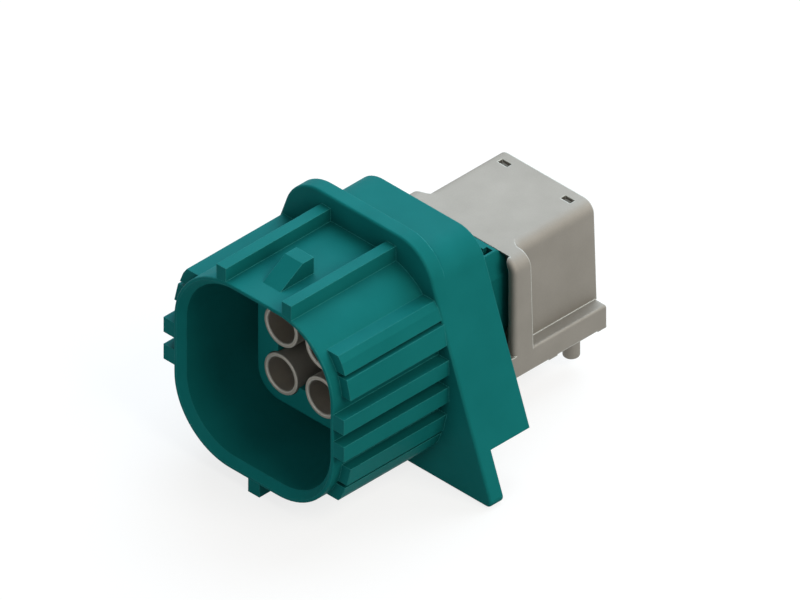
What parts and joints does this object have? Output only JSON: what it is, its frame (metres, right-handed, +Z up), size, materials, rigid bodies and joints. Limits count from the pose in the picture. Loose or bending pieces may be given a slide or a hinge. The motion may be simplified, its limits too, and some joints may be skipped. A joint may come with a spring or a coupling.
{
  "type": "right-angle board coaxial header",
  "caption": "Right-angle board header: square plastic shroud and panel flange in front of a die-cast shell with coax ports, round board pegs and solder tails.",
  "frame": {"origin": "centre of the square of four round board pegs, on the board's face", "axes": "+Z up from the board, -Y towards the mating end, X across the connector with +X on the right when the ports are seen from in front"},
  "size_m": [0.027, 0.0301, 0.0196],
  "materials": {
    "glass_filled_moulding": "fine eroded mould surface, teal glass-filled polyester",
    "zinc_casting": "as-cast zinc alloy with a dull nickel plating",
    "tinned_plate": "matt tin over stamped copper alloy",
    "contact_plating": "gold flash on the mating end, tin on the tail",
    "insulator_moulding": "off-white liquid-crystal polymer"
  },
  "bodies": {
    "root": {"housing": "glass_filled_moulding", "shield_shell": "zinc_casting", "row_shield": "tinned_plate", "rear_cover": "tinned_plate", "centre_contact_upper_left": "contact_plating", "centre_contact_upper_right": "contact_plating", "centre_contact_lower_left": "contact_plating", "centre_contact_lower_right": "contact_plating", "front_insulator_upper_left": "insulator_moulding", "front_insulator_upper_right": "insulator_moulding", "front_insulator_lower_left": "insulator_moulding", "front_insulator_lower_right": "insulator_moulding", "elbow_insulator_upper_left": "insulator_moulding", "elbow_insulator_upper_right": "insulator_moulding", "elbow_insulator_lower_left": "insulator_moulding", "elbow_insulator_lower_right": "insulator_moulding"}
  },
  "joints": []
}
